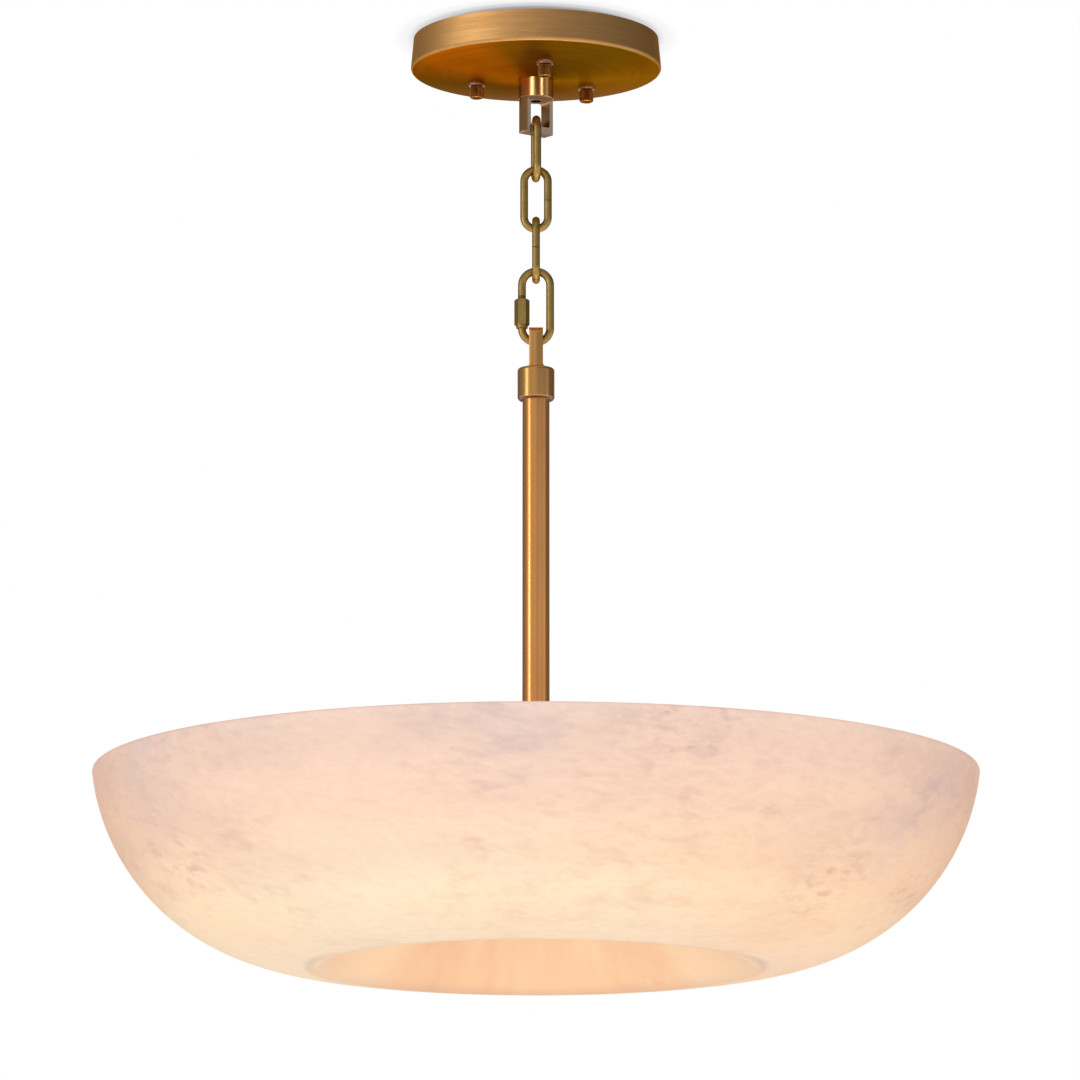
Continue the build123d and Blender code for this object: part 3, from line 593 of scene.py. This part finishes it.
def make_bowl():
    """Stone bowl, turned from its outer and inner faces with a rounded rim and eased hole edges."""
    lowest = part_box("bowl")[0].z
    inner_lean = math.degrees(math.asin(BELLY_R * math.sin(math.radians(RIM_LEAN)) / (BELLY_R - STONE_WALL)))
    outer = stone_face(0.0, RIM_LEAN, lowest)
    inner = stone_face(STONE_WALL, inner_lean, lowest)
    inner.reverse()
    hole = rounded(outer[-2], outer[-1], inner[0], STONE_EDGE, 3)
    hole += rounded(outer[-1], inner[0], inner[1], STONE_EDGE, 3)
    rim = rounded(inner[-2], inner[-1], outer[0], RIM_ROUND)
    rim += rounded(inner[-1], outer[0], outer[1], RIM_ROUND)
    keep_outer = [p for p in outer[1:-1] if (p - outer[0]).length > RIM_ROUND]
    keep_inner = [p for p in inner[1:-1] if (p - inner[-1]).length > RIM_ROUND]
    outline = keep_outer + hole + keep_inner + rim
    inner_rows = range(len(keep_outer) + len(hole) // 2, len(outline) - len(rim) // 2)
    points, faces, rows = lathe(outline, STONE_STEPS)
    made = new_piece("stone_bowl", new_mesh("stone_bowl", points, faces, stone_finish()), "stem_and_bowl")
    side = made.data.attributes.new("inner_face", "FLOAT", "POINT")
    for row in inner_rows:
        for point in rows[row]:
            side.data[point].value = 1.0
    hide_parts("bowl")


def lamp_axis(number):
    """Matrix at a bulb's neck, with +Z outwards along its arm."""
    low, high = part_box(f"lamp_arm_{number}")
    angle = math.atan2(low.y + high.y, low.x + high.x)
    low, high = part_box("hub")
    turn = Matrix.Rotation(angle, 4, "Z")
    tilt = Matrix.Rotation(math.radians(90 + LAMP_TILT), 4, "Y")
    start = turn @ Matrix.Translation((HUB_R, 0, (low.z + high.z) / 2)) @ tilt
    back = start.inverted()
    reach = max((back @ point.co).z for point in nodes[f"bulb_{number}"].data.vertices)
    return start @ Matrix.Translation((0, 0, reach - BULB_LENGTH))


def make_bulb(number, material):
    """Torpedo lamp of frosted glass on its arm's axis."""
    outline = [Vector((0, 0)), Vector((LAMP_BASE_R, 0)), Vector((LAMP_BASE_R, BULB_NECK))]
    for step in range(1, 13):
        t = step / 12
        grow = t * t * (3 - 2 * t)
        outline.append(Vector((LAMP_BASE_R + (BULB_R - LAMP_BASE_R) * grow,
                               BULB_NECK + (BULB_WIDEST - BULB_NECK) * t)))
    for step in range(1, 25):
        t = math.sin(math.pi / 2 * step / 24)
        outline.append(Vector((BULB_R * math.sqrt(max(0.0, 1 - t ** 2.2)),
                               BULB_WIDEST + (BULB_LENGTH - BULB_WIDEST) * t)))
    outline[-1].x = 0.0
    outline.reverse()
    points, faces, _ = lathe(outline, BULB_STEPS, lamp_axis(number), closed=False)
    name = f"frosted_bulb_{number}"
    made = new_piece(name, new_mesh(name, points, faces, material), "stem_and_bowl")
    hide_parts(f"bulb_{number}")


def knurl_tree():
    """Nodes that set upright ridges round a nut's blank."""
    tree = bpy.data.node_groups.new("knurled_ring", "GeometryNodeTree")
    face = tree.interface
    face.new_socket("Blank", in_out="INPUT", socket_type="NodeSocketGeometry")
    face.new_socket("Ridges", in_out="INPUT", socket_type="NodeSocketInt")
    for name in ("Ring radius", "Ridge size", "Ridge height"):
        face.new_socket(name, in_out="INPUT", socket_type="NodeSocketFloat")
    face.new_socket("Middle", in_out="INPUT", socket_type="NodeSocketVector")
    face.new_socket("Finish", in_out="INPUT", socket_type="NodeSocketMaterial")
    face.new_socket("Nut", in_out="OUTPUT", socket_type="NodeSocketGeometry")
    given = node(tree, "NodeGroupInput").outputs
    ring = node(tree, "GeometryNodeMeshCircle", {"Vertices": given["Ridges"], "Radius": given["Ring radius"]})
    ridge = node(tree, "GeometryNodeMeshCylinder", {"Vertices": 4, "Radius": given["Ridge size"],
                                                    "Depth": given["Ridge height"]})
    outward = node(tree, "FunctionNodeAlignRotationToVector",
                   {"Vector": node(tree, "GeometryNodeInputPosition").outputs[0]}, axis="X", pivot_axis="Z")
    ridges = node(tree, "GeometryNodeInstanceOnPoints",
                  {"Points": ring.outputs["Mesh"], "Instance": ridge.outputs["Mesh"], "Rotation": outward.outputs[0]})
    placed = node(tree, "GeometryNodeTransform", {"Geometry": ridges.outputs[0], "Translation": given["Middle"]})
    both = node(tree, "GeometryNodeJoinGeometry")
    tree.links.new(placed.outputs[0], both.inputs[0])
    tree.links.new(given["Blank"], both.inputs[0])
    real = node(tree, "GeometryNodeRealizeInstances", {"Geometry": both.outputs[0]})
    done = node(tree, "GeometryNodeSetMaterial", {"Geometry": real.outputs[0], "Material": given["Finish"]})
    node(tree, "NodeGroupOutput", {"Nut": done.outputs[0]})
    return tree


def make_nut(place, tree, material):
    """Knurled cap nut: a bevelled blank with its screw hole, and a ring of ridges."""
    low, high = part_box(f"knurled_nut_{place}")
    middle = (low + high) / 2
    nut_r = (high.x - low.x) / 2
    core_r = nut_r - KNURL_DEPTH
    rise = (high.z - low.z) / 2
    outline = [(core_r - NUT_BEVEL, rise), (core_r, rise - NUT_BEVEL), (core_r, NUT_BEVEL - rise),
               (core_r - NUT_BEVEL, -rise), (core_r - 1.6 * NUT_BEVEL, -rise),
               (core_r - 2 * NUT_BEVEL, NUT_DISH - rise), (NUT_BORE_R, NUT_DISH - rise), (NUT_BORE_R, rise)]
    points, faces, _ = lathe(outline, NUT_STEPS, Matrix.Translation(middle))
    name = f"knurled_cap_nut_{place}"
    made = new_piece(name, new_mesh(name, points, faces, material), f"knurled_nut_{place}")
    made.data.shade_flat()
    modifier = made.modifiers.new("knurls", "NODES")
    modifier.node_group = tree
    values = {"Ridges": KNURLS, "Ring radius": core_r - KNURL_DEPTH * 0.2, "Ridge size": KNURL_DEPTH * 1.2,
              "Ridge height": 2 * rise - 2.4 * NUT_BEVEL, "Middle": middle, "Finish": material}
    for item in tree.interface.items_tree:
        if item.name in values:
            modifier[item.identifier] = values[item.name]
    ready = made.evaluated_get(bpy.context.evaluated_depsgraph_get())
    ridged = bpy.data.meshes.new_from_object(ready)
    made.modifiers.remove(modifier)
    made.data = ridged
    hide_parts(f"knurled_nut_{place}")


# Dressing

def dress(material, *names):
    for name in names:
        data = nodes[name].data
        data.materials.clear()
        data.materials.append(material)


make_bowl()
glass = bulb_finish()
for number in LAMPS:
    make_bulb(number, glass)

nut_brass = metal("knurled_brass", cast_grain, (0.22, 0.105, 0.022), (0.48, 0.265, 0.075), (0.7, 0.5, 0.3),
                  (0.26, 0.36), scales=(1200, 3000), tone=300)[0]
knurls = knurl_tree()
for place in NUT_PLACES:
    make_nut(place, knurls, nut_brass)

copper = lacquered("copper_brass_stem", (0.67, 0.268, 0.046), (0.75, 0.312, 0.060))
collar_brass = lacquered("copper_brass_collar", (0.55, 0.258, 0.046), (0.63, 0.302, 0.058))
bright_brass = metal("turned_brass_fittings", turned_grain, (0.44, 0.26, 0.095), (0.60, 0.38, 0.15),
                     (0.80, 0.62, 0.40), (0.26, 0.36), scales=(600, 2400))[0]
washer_brass = metal("pale_brass_washers", cast_grain, (0.52, 0.40, 0.33), (0.66, 0.53, 0.45), (0.9, 0.8, 0.7),
                     (0.34, 0.46), scales=(800, 2600), tone=200, depth=0.05)[0]
zinc = metal("zinc_plated_steel", cast_grain, (0.42, 0.42, 0.40), (0.60, 0.60, 0.57), (0.9, 0.9, 0.9),
             (0.30, 0.44), scales=(500, 1800), tone=60)[0]
lamp_brass = metal("lamp_base_metal", ring_grain, (0.52, 0.43, 0.26), (0.72, 0.62, 0.42), (0.9, 0.8, 0.6),
                   (0.22, 0.34), scales=(900, 2600), tone=120)[0]
green = moulded_finish("green_lacquer", (0.02, 0.17, 0.05), (0.035, 0.26, 0.085), 0.35)
silicone = moulded_finish("clear_silicone", (0.66, 0.64, 0.60), (0.78, 0.76, 0.72), 0.55)
ceramic = moulded_finish("glazed_socket", (0.70, 0.66, 0.58), (0.82, 0.78, 0.70), 0.32)

dress(canopy_finish(), "canopy")
dress(loop_finish(), "canopy_loop")
dress(copper, "stem_tube")
dress(collar_brass, "stem_loop")
dress(chain_finish("antique_brass_chain"), "chain_link_1", "quick_link_sleeve")
low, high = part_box("chain_link_2")
side_seam = ((1, 0, 0), high.x - 0.005, (low.z + high.z) / 2)
dress(chain_finish("antique_brass_side_seam", seam=side_seam), "chain_link_2")
low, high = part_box("chain_link_3")
front_seam = ((0, -1, 0), -low.y - 0.003, (low.z + high.z) / 2)
dress(chain_finish("antique_brass_front_seam", seam=front_seam), "chain_link_3")
dress(chain_finish("antique_brass_screw_link", thread=True), "quick_link")
dress(bright_brass, "finial", "lower_clamp_plate", "hub", "hub_lid", "stem_plug",
      *[f"lamp_arm_{number}" for number in LAMPS])
dress(zinc, "ceiling_plate", "canopy_studs", "stud_nuts", "canopy_pipe", "plate_pipe_nut", "canopy_pipe_washer",
      "canopy_pipe_nut", "clamp_rod", "upper_clamp_plate", "clamp_nut", "arm_nuts")
dress(green, "ground_screw")
dress(washer_brass, "nut_washers")
dress(silicone, "upper_gasket", "lower_gasket")
dress(ceramic, *[f"lamp_socket_{number}" for number in LAMPS])
dress(lamp_brass, *[f"bulb_base_{number}" for number in LAMPS])


# Stage

def stage_piece(name, points, faces):
    """Object that isn't part of the lamp, with an empty material tree."""
    mesh = bpy.data.meshes.new(name)
    mesh.from_pydata(points, [], faces)
    made = bpy.data.objects.new(name, mesh)
    bpy.context.scene.collection.objects.link(made)
    material = bpy.data.materials.new(name)
    material.use_nodes = True
    material.node_tree.nodes.clear()
    mesh.materials.append(material)
    return made, material.node_tree


def shade_with(tree, shader):
    out = node(tree, "ShaderNodeOutputMaterial")
    tree.links.new(shader, out.inputs["Surface"])


def make_floor():
    """Pale floor, far below, that shows white from above, takes a shadow, and is clear from below."""
    corners = [(x * FLOOR_SIZE, y * FLOOR_SIZE, FLOOR_LEVEL) for x, y in ((-1, -1), (1, -1), (1, 1), (-1, 1))]
    _, tree = stage_piece("floor", corners, [(0, 1, 2, 3)])
    path = node(tree, "ShaderNodeLightPath").outputs
    seen = math_node(tree, "MAXIMUM", path["Is Camera Ray"], path["Is Transmission Ray"])
    seen = math_node(tree, "MAXIMUM", seen, path["Is Glossy Ray"])
    matt = node(tree, "ShaderNodeBsdfDiffuse", {"Color": rgb(0.85, 0.85, 0.85)}).outputs[0]
    lift = node(tree, "ShaderNodeEmission", {"Color": rgb(1, 1, 1), "Strength": times(tree, seen, 0.5)}).outputs[0]
    pale = node(tree, "ShaderNodeAddShader", {0: matt, 1: lift}).outputs[0]
    clear = node(tree, "ShaderNodeBsdfTransparent").outputs[0]
    behind = node(tree, "ShaderNodeNewGeometry").outputs["Backfacing"]
    shade_with(tree, node(tree, "ShaderNodeMixShader", {0: behind, 1: pale, 2: clear}).outputs[0])


def make_ceiling_shade():
    """Soft shadow of the canopy on the ceiling round it, seen from below only."""
    points, faces, _ = lathe([(0.150, 0.0008), (0.060, 0.0008)], SHADE_STEPS, closed=False)
    _, tree = stage_piece("ceiling_shade", points, [tuple(reversed(face)) for face in faces])
    radius = polar(tree, mapped(tree, scale=(1.12, 1, 1)))[0]
    grey = ramp(tree, span(tree, radius, 0.074, 0.099, shape="LINEAR"),
                [(0.0, (0.36, 0.36, 0.37)), (0.25, (0.66, 0.66, 0.67)), (0.6, (0.92, 0.92, 0.92)), (1.0, (1, 1, 1))])
    tone = node(tree, "ShaderNodeEmission", {"Color": grey}).outputs[0]
    clear = node(tree, "ShaderNodeBsdfTransparent").outputs[0]
    behind = node(tree, "ShaderNodeNewGeometry").outputs["Backfacing"]
    seen = node(tree, "ShaderNodeLightPath").outputs["Is Camera Ray"]
    shown = times(tree, seen, math_node(tree, "SUBTRACT", 1.0, behind))
    shade_with(tree, node(tree, "ShaderNodeMixShader", {0: shown, 1: clear, 2: tone}).outputs[0])


def make_flag(name, start, end, level, low=0.12, high=1.1):
    """Curved dark screen that only reflections see, between two directions counted from the camera's side."""
    points = []
    for step in range(FLAG_STEPS + 1):
        turn = math.radians(start + (end - start) * step / FLAG_STEPS)
        for height in (low, high):
            points.append((FLAG_REACH * math.sin(turn), -FLAG_REACH * math.cos(turn), height))
    faces = [(2 * step, 2 * step + 2, 2 * step + 3, 2 * step + 1) for step in range(FLAG_STEPS)]
    flag, tree = stage_piece(name, points, faces)
    shade_with(tree, node(tree, "ShaderNodeEmission", {"Color": rgb(level, level, level)}).outputs[0])
    flag.visible_camera = False
    flag.visible_diffuse = False
    flag.visible_transmission = False
    flag.visible_shadow = False


def make_world():
    """White background. Reflections see it white behind the object, and a studio of greys round the sides."""
    world = bpy.data.worlds.new("studio")
    bpy.context.scene.world = world
    world.use_nodes = True
    tree = world.node_tree
    tree.nodes.clear()
    path = node(tree, "ShaderNodeLightPath").outputs
    x, y, _ = axes(tree, node(tree, "ShaderNodeTexCoord").outputs["Generated"])
    angle = math_node(tree, "ARCTAN2", x, times(tree, y, -1.0))
    turn = span(tree, angle, -math.pi, math.pi, shape="LINEAR")
    greys = ((-180, 1.0), (-166, 1.0), (-156, 0.14), (-120, 0.26), (-95, 0.38), (-75, 0.50), (-45, 0.55),
             (-27, 0.56), (-14, 0.80), (-2, 0.60), (12, 0.60), (22, 0.66), (35, 0.82), (47, 0.66), (62, 0.62),
             (78, 0.55), (95, 0.22), (150, 0.16), (166, 1.0), (180, 1.0))
    stops = [((way + 180) / 360, (grey, grey * 0.985, grey * 0.97)) for way, grey in greys]
    studio = ramp(tree, turn, stops, "LINEAR")
    ambient = mix(tree, path["Is Glossy Ray"], rgb(0.56, 0.56, 0.57), studio)
    seen = math_node(tree, "MAXIMUM", path["Is Camera Ray"], path["Is Transmission Ray"])
    colour = mix(tree, seen, ambient, rgb(1, 1, 1))
    back = node(tree, "ShaderNodeBackground", {"Color": colour, "Strength": 1.0})
    tree.links.new(back.outputs[0], node(tree, "ShaderNodeOutputWorld").inputs["Surface"])


def group_of(name, pieces):
    """Collection of CAD nodes and finished pieces, for light linking."""
    group = bpy.data.collections.new(name)
    for piece in pieces:
        group.objects.link(nodes[piece] if piece in nodes else bpy.data.objects[piece])
    return group


def reach_only(light, *pieces):
    """Let a light reach these pieces and nothing else."""
    group = group_of(light.name + "_reach", pieces)
    light.light_linking.receiver_collection = group
    return group


def reach_all_but(light, *pieces):
    """Let a light reach everything but these pieces."""
    for item in reach_only(light, *pieces).collection_objects:
        item.light_linking.link_state = "EXCLUDE"


def shine_past(light, *pieces):
    """Keep these pieces from shading what a light reaches."""
    group = group_of(light.name + "_past", pieces)
    light.light_linking.blocker_collection = group
    for item in group.collection_objects:
        item.light_linking.link_state = "EXCLUDE"


def soft_light(name, way, reach, height, size, power, only=(), without=(), past=()):
    """Area light aimed at the lamp, at an angle counted from the camera's side towards +X."""
    data = bpy.data.lights.new(name, "AREA")
    data.shape = "RECTANGLE"
    data.size, data.size_y = size
    data.energy = power
    data.color = STUDIO_WHITE
    made = bpy.data.objects.new(name, data)
    turn = math.radians(way)
    place = Vector((reach * math.sin(turn), -reach * math.cos(turn), height))
    made.location = place
    made.rotation_euler = (LIGHT_AIM - place).to_track_quat("-Z", "Y").to_euler()
    bpy.context.scene.collection.objects.link(made)
    if only:
        reach_only(made, *only)
    if without:
        reach_all_but(made, *without)
    if past:
        shine_past(made, *past)


def make_lamp_light():
    """Warm light of the six lamps that leaves the bowl upwards."""
    data = bpy.data.lights.new("lamp_light", "AREA")
    data.shape = "DISK"
    data.size = LAMP_LIGHT_SIZE
    data.energy = LAMP_LIGHT_POWER
    data.color = LAMP_LIGHT_COLOUR
    made = bpy.data.objects.new("lamp_light", data)
    made.location = (0, 0, LAMP_LIGHT_LEVEL)
    made.rotation_euler = (math.pi, 0, 0)
    made.visible_camera = False
    bpy.context.scene.collection.objects.link(made)
    kinds = ("lamp_arm", "lamp_socket", "bulb_base", "frosted_bulb")
    around = [f"{kind}_{number}" for kind in kinds for number in LAMPS]
    reach_all_but(made, "stem_loop", "canopy_loop", "stem_tube", "hub", "hub_lid", "stone_bowl", *around)


def make_camera():
    """Long lens, a little below the bowl, looking up."""
    data = bpy.data.cameras.new("camera")
    data.sensor_width = SENSOR_WIDTH
    data.lens = SENSOR_WIDTH * FOCAL_PIXELS / VIEW_PIXELS
    data.clip_end = 100.0
    camera = bpy.data.objects.new("camera", data)
    pitch = math.radians(CAMERA_PITCH)
    camera.location = CAMERA_AIM - CAMERA_REACH * Vector((0, math.cos(pitch), math.sin(pitch)))
    camera.rotation_euler = (math.pi / 2 + pitch, 0, 0)
    bpy.context.scene.collection.objects.link(camera)
    bpy.context.scene.camera = camera


make_floor()
make_ceiling_shade()
make_flag("left_flag", -165, -42, 0.26)
make_flag("right_flag", 8, 150, 0.125)
make_flag("back_flag", 130, 230, 0.20, low=-0.75, high=-0.33)
make_world()
soft_light("left_strip", -59, 3.5, 0.1, (0.5, 2.4), 26, without=("canopy", "canopy_loop"))
soft_light("right_strip", 74, 3.2, 0.0, (0.5, 2.2), 2.4, without=("canopy", "canopy_loop"))
soft_light("canopy_key", -60, 1.4, 0.6, (1.2, 0.6), 7.2, only=("canopy",))
soft_light("loop_left", -26, 1.4, 0.33, (0.50, 0.34), 3.6, only=("canopy_loop",), past=("canopy",))
soft_light("loop_right", 38, 1.4, 0.33, (0.14, 0.34), 2.2, only=("canopy_loop",), past=("canopy",))
soft_light("loop_face", 76, 1.4, 0.33, (0.50, 0.50), 0.6, only=("canopy_loop",), past=("canopy",))
make_lamp_light()
make_camera()
bpy.context.scene.view_settings.view_transform = "Standard"
